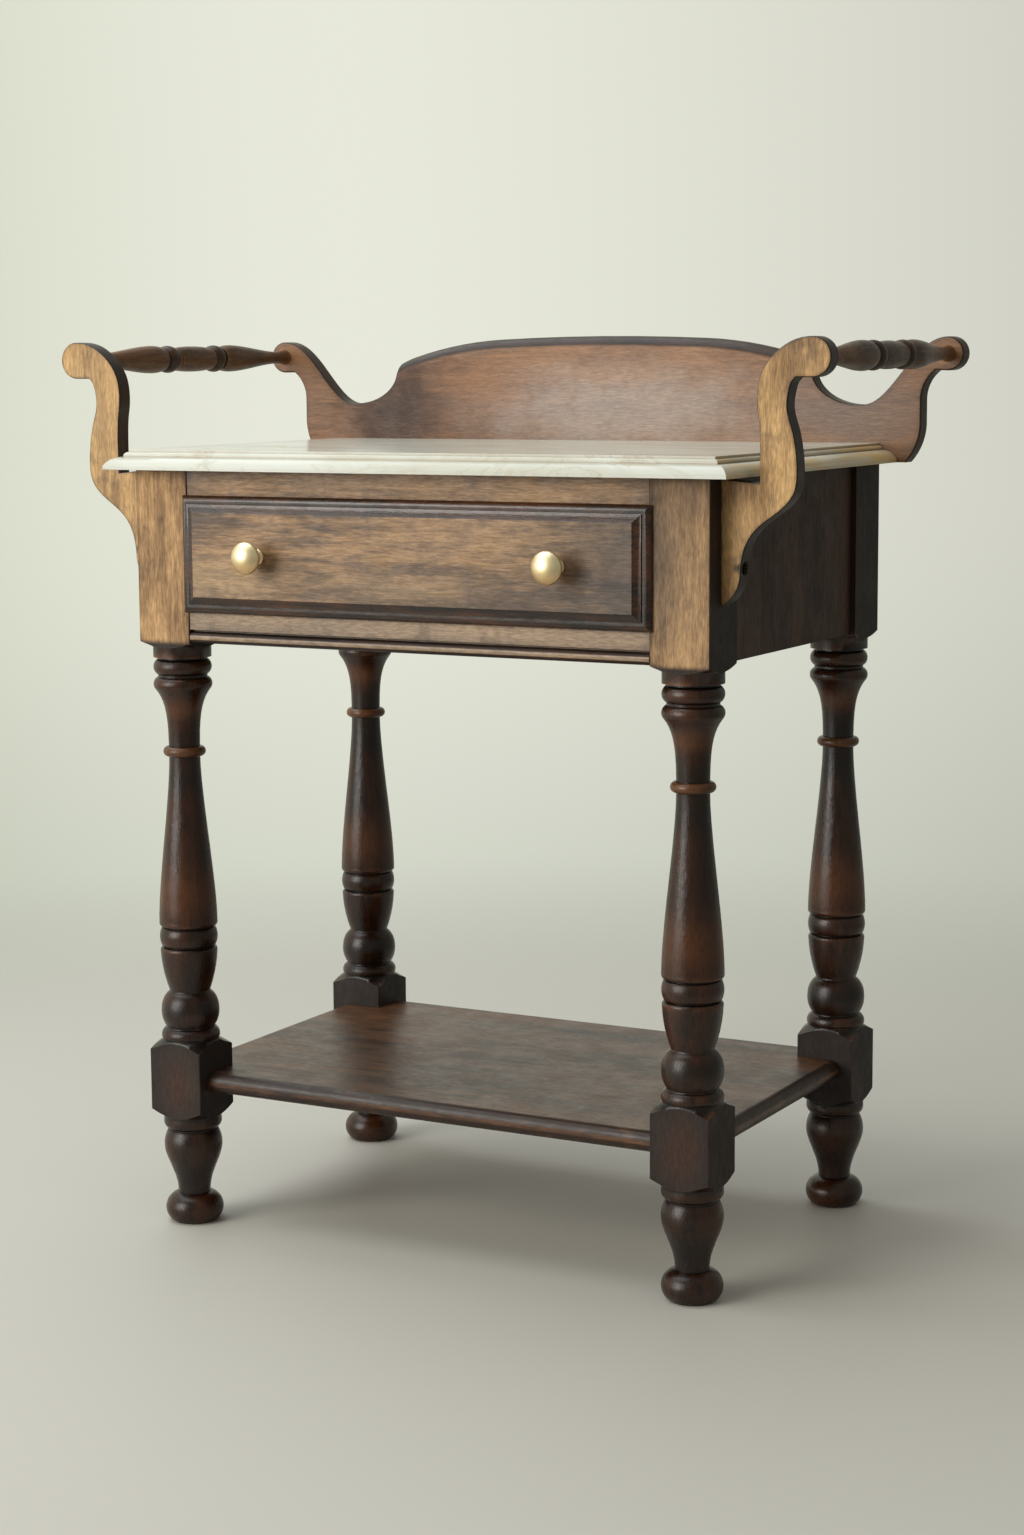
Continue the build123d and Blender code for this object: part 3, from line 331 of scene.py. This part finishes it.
panelLook = {"grain": "z", "darkLow": (0.028, 0.014, 0.009), "darkHigh": (0.09, 0.048, 0.029),
             "glaze": {"reach": 0.02, "strength": 0.7, "color": blackGlaze},
             "wear": {"reach": 0.0016, "strength": 0.3, "color": (0.16, 0.08, 0.04)}, "gloss": 0.2, "roughness": 0.5}
panelWood = stainedWood("panelWood", panelLook)
for node, name in (("side_panel_left", "sidePanel_left"), ("side_panel_right", "sidePanel_right"),
                   ("back_panel", "backPanel")):
    dress(node, name, panelWood)
print("rails and panels dressed")

drawerLook = {"grain": "x", "darkLow": (0.010, 0.004, 0.002), "darkHigh": (0.085, 0.028, 0.009),
              "rubbedLow": (0.10, 0.056, 0.029), "rubbedHigh": (0.43, 0.248, 0.112), "rubbedPlane": (-0.1919, 0.0004),
              # the first spot darkens the right end of the field: darker stain and painted shade
              "frontSpots": [((0.042, 0.030, 0.025), 0.85, (0.26, -0.19, 0.68), (0.16, 0.2, 0.16)),
                             ((0.08, 0.05, 0.034), 0.5, (-0.255, -0.19, 0.715), (0.07, 0.2, 0.035)),
                             ((0.54, 0.35, 0.17), 0.6, (-0.20, -0.19, 0.65), (0.09, 0.2, 0.035)),
                             ((0.44, 0.285, 0.15), 0.45, (0.0, -0.19, 0.65), (0.14, 0.2, 0.022))],
              "toneSpan": (0.42, 0.58),
              "glaze": {"reach": 0.005, "strength": 0.95, "color": blackGlaze},
              "wear": {"reach": 0.0014, "strength": 0.85, "color": (0.36, 0.20, 0.10)}, "rimStrength": 0.25,
              "gloss": 0.6, "roughness": 0.25, "flatRough": 0.27}
drawerWood = stainedWood("drawerWood", drawerLook)
dress("drawer_front", "drawerFront", drawerWood, ease=0.0003)

armLook = {"grain": "z", "darkLow": (0.012, 0.007, 0.005), "darkHigh": (0.04, 0.019, 0.010),
           "rubbedLow": (0.30, 0.16, 0.062), "rubbedHigh": (0.76, 0.46, 0.185), "rubbedPlane": (-0.156, 0.004),
           "frontSpots": [((0.86, 0.56, 0.25), 0.4, (-0.375, -0.16, 0.80), (0.07, 0.3, 0.10)),
                          # a lighter tone on the right arm's lower inner part, with painted light where the post's
                          # shadow falls
                          ((0.80, 0.49, 0.20), 0.65, (0.325, -0.16, 0.69), (0.03, 0.3, 0.07)),
                          # painted shade along the right arm's outer edge, its shadowed side
                          ((0.13, 0.075, 0.04), 0.5, (0.392, -0.16, 0.765), (0.016, 0.3, 0.05)),
                          ((0.24, 0.135, 0.06), 0.35, (-0.362, -0.16, 0.79), (0.014, 0.3, 0.05))],
           "toneSpan": (0.38, 0.60), "cloudScale": 20.0, "flatAxes": "Y", "flatRough": 0.1,
           "edgeReach": 0.0038, "rimStrength": 0.95,
           "glaze": {"reach": 0.006, "strength": 0.8, "color": blackGlaze},
           "wear": {"reach": 0.0015, "strength": 0.4, "color": (0.30, 0.16, 0.07)}}
armWood = stainedWood("armWood", armLook)
barLook = {"grain": "y", "flatAxes": "", "darkLow": (0.014, 0.006, 0.003), "darkHigh": (0.15, 0.065, 0.026),
           "rings": [((0.006, 0.003, 0.002), 0.95, "Y", -0.0168, 0.0002),
                     ((0.006, 0.003, 0.002), 0.95, "Y", 0.0633, 0.0803)],
           "rub": {"least": 0.45, "most": 0.95, "color": (0.34, 0.165, 0.065)},
           "glaze": {"reach": 0.006, "strength": 1.0, "color": blackGlaze},
           "wear": {"reach": 0.0014, "strength": 0.4, "color": (0.2, 0.10, 0.04)}, "gloss": 0.35, "roughness": 0.36}
barWood = stainedWood("barWood", barLook)
for side in sides:
    dress(f"arm_{side}", f"towelArm_{side}", armWood, ease=0)
    dress(f"towel_bar_{side}", f"towelBar_{side}", barWood, ease=0)

boardLook = {"grain": "x", "darkLow": (0.016, 0.009, 0.006), "darkHigh": (0.06, 0.028, 0.014),
             "rubbedLow": (0.13, 0.053, 0.021), "rubbedHigh": (0.37, 0.18, 0.076), "rubbedPlane": (0.2055, 0.001),
             # the first spot is a painted reflection: a pale greyish sheen over the middle of the face
             "frontSpots": [((0.50, 0.42, 0.37), 0.6, (0.03, 0.2045, 0.80), (0.26, 0.1, 0.075)),
                            ((0.30, 0.14, 0.058), 0.6, (-0.37, 0.2045, 0.84), (0.05, 0.1, 0.06)),
                            ((0.035, 0.013, 0.006), 0.85, (-0.24, 0.2045, 0.80), (0.09, 0.1, 0.09)),
                            ((0.34, 0.15, 0.055), 0.5, (-0.13, 0.2045, 0.83), (0.07, 0.1, 0.035)),
                            ((0.20, 0.155, 0.13), 0.65, (0.28, 0.2045, 0.80), (0.12, 0.1, 0.07))],
             "toneSpan": (0.33, 0.67), "flatAxes": "Y", "fleckStrength": 0.12, "smudgeStrength": 0.12,
             "glaze": {"reach": 0.006, "strength": 0.7, "color": blackGlaze},
             "wear": {"reach": 0.0024, "strength": 0.85, "color": (0.36, 0.19, 0.09)},
             "gloss": 0.35, "roughness": 0.4}
dress("splashback", "scrolledBoard", stainedWood("boardWood", boardLook), ease=0)

shelfLook = {"grain": "x", "darkLow": (0.026, 0.013, 0.008), "darkHigh": (0.165, 0.072, 0.030), "roundDark": 0.9,
             "glaze": {"reach": 0.008, "strength": 0.8, "color": blackGlaze},
             "wear": {"reach": 0.003, "strength": 0.35, "color": (0.18, 0.10, 0.055)}, "roughness": 0.36, "gloss": 0.4}
dress("shelf", "lowerShelf", stainedWood("shelfWood", shelfLook))
print("drawer front, arms, bars, board and shelf dressed")


# marble: how each noise is stretched, then its scale, detail, roughness and distortion
marbleNoise = {"drift": ((1, 1, 1), 4.0, 3, 0.5), "clouds": ((1, 3, 3), 6.0, 6, 0.6, 0.8),
               "veins": ((1, 1.6, 1.6), 5.0, 7, 0.6, 1.2), "stain": ((1, 0.12, 1), 90.0, 4, 0.6)}
# dirt lies in the moulding of its ends more than along the front; the ends are tinted tan, the right end most, which
# is stain and painted warm light
marbleLook = {"pale": (0.71, 0.71, 0.595), "cloud": (0.62, 0.60, 0.47), "cloudSpan": (0.38, 0.68),
              "vein": (0.50, 0.42, 0.27), "veinWidth": 0.02, "veinShare": (0.4, 0.65, 0.1, 0.6),
              "grime": (0.26, 0.14, 0.055), "grimeReach": 0.005, "grimeSpan": (0.93, 0.6),
              "grimeAtEnds": (0.1, 0.5, 0.5, 1.0), "endStainAndWarmLight": (0.76, 0.54, 0.235),
              "rightEnd": (0.1, 0.5), "leftEnd": (-0.1, -0.5, 0.0, 0.35), "stainGaps": (0.4, 0.6, 0.4, 1.0),
              "polish": 0.18, "gloss": 0.45}


def marbleStone(name, look):
    material, tree, shader, coordinates = startMaterial(name)
    place = coordinates["Object"]
    sideways = addNode(tree, "ShaderNodeSeparateXYZ", Vector=coordinates["Normal"]).outputs["X"]
    drift, clouds, veins, stain = [noise(tree, stretched(tree, place, scale), *numbers)
                                   for scale, *numbers in marbleNoise.values()]
    # a vein runs where its noise crosses one half
    veins = combine(tree, "ABSOLUTE", combine(tree, "SUBTRACT", veins, 0.5))
    veins = times(tree, fade(tree, veins, 0.0, look["veinWidth"], 1.0, 0.0), fade(tree, drift, *look["veinShare"]))
    # tan on the ends, strongest on the right: stain and painted warm light on the shaded end
    stained = combine(tree, "ADD", fade(tree, sideways, *look["rightEnd"]), fade(tree, sideways, *look["leftEnd"]))
    stained = times(tree, stained, fade(tree, stain, *look["stainGaps"]))
    grimy = times(tree, fade(tree, openness(tree, look["grimeReach"]), *look["grimeSpan"]),
                  fade(tree, combine(tree, "ABSOLUTE", sideways), *look["grimeAtEnds"]))
    color = mixColors(tree, fade(tree, clouds, *look["cloudSpan"]), look["pale"], look["cloud"])
    for share, tint in ((veins, "vein"), (stained, "endStainAndWarmLight"), (grimy, "grime")):
        color = mixColors(tree, share, color, look[tint])
    setShader(tree, shader, {"Base Color": color, "Roughness": look["polish"], "Specular IOR Level": look["gloss"]})
    return material


dress("marble_top", "marbleTop", marbleStone("creamMarble", marbleLook))


# metals and the plain wood inside
# the deeper gold for faces that look down is painted shade
brassLook = {"low": (0.95, 0.74, 0.38), "high": (0.99, 0.82, 0.48), "under": (0.70, 0.42, 0.12),
             "underSpan": (0.2, -0.6), "roughness": 0.46,
             "lacquer": {"Coat Weight": 1.0, "Coat Roughness": 0.33, "Coat IOR": 2.3}}
steelLook = {"low": (0.10, 0.085, 0.07), "high": (0.30, 0.28, 0.25), "roughness": 0.45}
scratchLook = {"noise": (120.0, 3, 0.6), "span": (0.3, 0.7), "spread": 0.02}
bareLook = {"low": (0.36, 0.22, 0.11), "high": (0.52, 0.36, 0.20), "pore": (0.26, 0.15, 0.07),
            "rings": (55.0, 4, 0.5, 0.9), "ringSpan": (0.35, 0.65),
            "pores": (600.0, 3, 0.65), "poreSpan": (0.45, 0.7, 0.0, 0.5),
            "roughness": 0.7, "gloss": 0.3, "bump": 0.3}


def metal(name, look):
    material, tree, shader, coordinates = startMaterial(name)
    scratches = noise(tree, coordinates["Object"], *scratchLook["noise"])
    color = mixColors(tree, scratches, look["low"], look["high"])
    if "under" in look:  # painted shade: a deeper, darker gold where it faces down
        upward = addNode(tree, "ShaderNodeSeparateXYZ", Vector=coordinates["Normal"]).outputs["Z"]
        color = mixColors(tree, fade(tree, upward, *look["underSpan"]), color, look["under"])
    rough = fade(tree, scratches, *scratchLook["span"], look["roughness"] - scratchLook["spread"],
                 look["roughness"] + scratchLook["spread"])
    setShader(tree, shader, {"Base Color": color, "Roughness": rough, "Metallic": 1.0, **look.get("lacquer", {})})
    return material


def bareWood(name, look, grain):
    material, tree, shader, coordinates = startMaterial(name)
    along = stretched(tree, coordinates["Object"], grainScale[grain])
    rings, pores = noise(tree, along, *look["rings"]), noise(tree, along, *look["pores"])
    color = mixColors(tree, fade(tree, rings, *look["ringSpan"]), look["low"], look["high"])
    color = mixColors(tree, fade(tree, pores, *look["poreSpan"]), color, look["pore"])
    bump = addNode(tree, "ShaderNodeBump", Strength=look["bump"], Distance=bumpDepth, Height=pores)
    setShader(tree, shader, {"Base Color": color, "Roughness": look["roughness"],
                             "Specular IOR Level": look["gloss"], "Normal": bump.outputs[0]})
    return material


def paint(node, material):
    nodes[node].data.materials.clear()
    nodes[node].data.materials.append(material)


satinBrass = metal("satinBrass", brassLook)
for side in sides:
    dress(f"knob_{side}", f"brassKnob_{side}", satinBrass, ease=0)
dullSteel = metal("dullSteel", steelLook)
for node in ("arm_screws", "knob_screws"):
    paint(node, dullSteel)
plainPieces = {"x": ("drawer_back", "drawer_bottom", "shelf_dowels", "arm_dowels"),
               "y": [f"drawer_{kind}_{side}" for kind in ("side", "runner", "kicker", "guide") for side in sides],
               "z": ("splashback_dowels",)}
for axis, members in plainPieces.items():
    plainWood = bareWood(f"plainWood{axis.upper()}", bareLook, axis)
    for node in members:
        paint(node, plainWood)
print("marble, metals and plain wood ready")


# floor, world, lamps and camera; the fill is what lights the part, the wall is what the camera sees
room = {"floorColor": (0.71, 0.68, 0.585), "floorBounce": (0.30, 0.265, 0.21), "floorRoughness": 0.6,
        "floorRadius": 6.0, "fadeFrom": 0.7, "fadeTo": 2.2,
        "fillColor": (0.35, 0.35, 0.34), "fillDim": 0.8, "fillBelow": (0.4, 0.4, 0.4), "fillLow": (0.1, -0.3),
        "wallColor": (0.83, 0.84, 0.73), "wallDim": 0.34, "wallBelow": (0.74, 0.77, 0.75), "wallLow": (-0.04, -0.25),
        "wallLeft": (0.58, 0.595, 0.475), "leftX": (-0.5, -0.75), "leftY": (0.1, 0.6), "dimX": (-0.62, 0.15)}
keyLamp = {"place": (-2.05, -3.6, 1.6), "size": (2.4, 2.8), "power": 110, "color": (1.0, 0.99, 0.965)}
topLamp = {"place": (-0.9, -0.1, 2.5), "size": (2.4, 2.0), "power": 34, "color": (0.86, 0.93, 1.0)}
lampTarget = Vector((0, 0, 0.55))
view = {"place": (1.36013, -2.49646, 0.86395), "azimuth": 28.4284, "down": 8.1424, "roll": -0.3992,
        "focalLength": 68.113, "sensor": 36.0, "farthest": 60}


def seenDirectly(tree):
    # 1 for the camera and for what shows in gloss or glass, 0 for light that bounces
    path = addNode(tree, "ShaderNodeLightPath").outputs
    seen = combine(tree, "ADD", path["Is Camera Ray"], path["Is Glossy Ray"], clamp=True)
    return combine(tree, "ADD", seen, path["Is Transmission Ray"], clamp=True)


def paleFloor():
    # a round floor that fades into the backdrop
    bm = bmesh.new()
    bmesh.ops.create_circle(bm, cap_ends=True, segments=96, radius=room["floorRadius"])
    mesh = bpy.data.meshes.new("paleFloor")
    bm.to_mesh(mesh)
    bm.free()
    floor = bpy.data.objects.new("paleFloor", mesh)
    scene.collection.objects.link(floor)
    material, tree, shader, coordinates = startMaterial("palePaint")
    color = mixColors(tree, seenDirectly(tree), room["floorBounce"], room["floorColor"])
    setShader(tree, shader, {"Base Color": color, "Roughness": room["floorRoughness"]})
    distance = addNode(tree, "ShaderNodeVectorMath", {"operation": "LENGTH"}, n0=coordinates["Object"])
    clear = addNode(tree, "ShaderNodeBsdfTransparent")
    faded = fade(tree, distance.outputs["Value"], room["fadeFrom"], room["fadeTo"])
    mixed = addNode(tree, "ShaderNodeMixShader", n0=faded, n1=shader.outputs[0], n2=clear.outputs[0])
    feed(tree, tree.nodes["Material Output"].inputs["Surface"], mixed.outputs[0])
    mesh.materials.append(material)


def softWorld():
    # pale all round, dimmer towards the right and below, and weaker as light than it is to the eye
    world = bpy.data.worlds.new("softStudio")
    scene.world = world
    world.use_nodes = True
    tree = world.node_tree
    direction = addNode(tree, "ShaderNodeTexCoord").outputs["Generated"]
    parts = addNode(tree, "ShaderNodeSeparateXYZ", Vector=direction).outputs
    shades = {}
    for kind in ("fill", "wall"):
        color, dim = room[kind + "Color"], room[kind + "Dim"]
        shade = mixColors(tree, fade(tree, parts["X"], *room["dimX"]), color, [dim * part for part in color])
        if kind == "wall":
            corner = times(tree, fade(tree, parts["X"], *room["leftX"]), fade(tree, parts["Y"], *room["leftY"]))
            shade = mixColors(tree, corner, shade, room["wallLeft"])
        below = mixColors(tree, 1.0, shade, room[kind + "Below"], "MULTIPLY")
        shades[kind] = mixColors(tree, fade(tree, parts["Z"], *room[kind + "Low"]), shade, below)
    color = mixColors(tree, seenDirectly(tree), shades["fill"], shades["wall"])
    feed(tree, tree.nodes["Background"].inputs["Color"], color)


def areaLamp(name, lamp):
    data = bpy.data.lights.new(name, "AREA")
    data.shape = "RECTANGLE"
    data.size, data.size_y = lamp["size"]
    data.energy = lamp["power"]
    data.color = lamp["color"]
    thing = bpy.data.objects.new(name, data)
    thing.location = lamp["place"]
    thing.rotation_euler = (lampTarget - thing.location).to_track_quat("-Z", "Y").to_euler()
    scene.collection.objects.link(thing)


paleFloor()
softWorld()
areaLamp("windowKey", keyLamp)
areaLamp("skyFill", topLamp)

cameraData = bpy.data.cameras.new("camera")
cameraData.lens = view["focalLength"]
cameraData.sensor_width = view["sensor"]
cameraData.clip_end = view["farthest"]
camera = bpy.data.objects.new("camera", cameraData)
turn = Euler((radians(90 - view["down"]), 0, radians(view["azimuth"]))).to_matrix()
camera.rotation_euler = (turn @ Matrix.Rotation(radians(view["roll"]), 3, "Z")).to_euler()
camera.location = view["place"]
scene.collection.objects.link(camera)
scene.camera = camera
scene.view_settings.view_transform = "Standard"
print("floor, lamps and camera set")
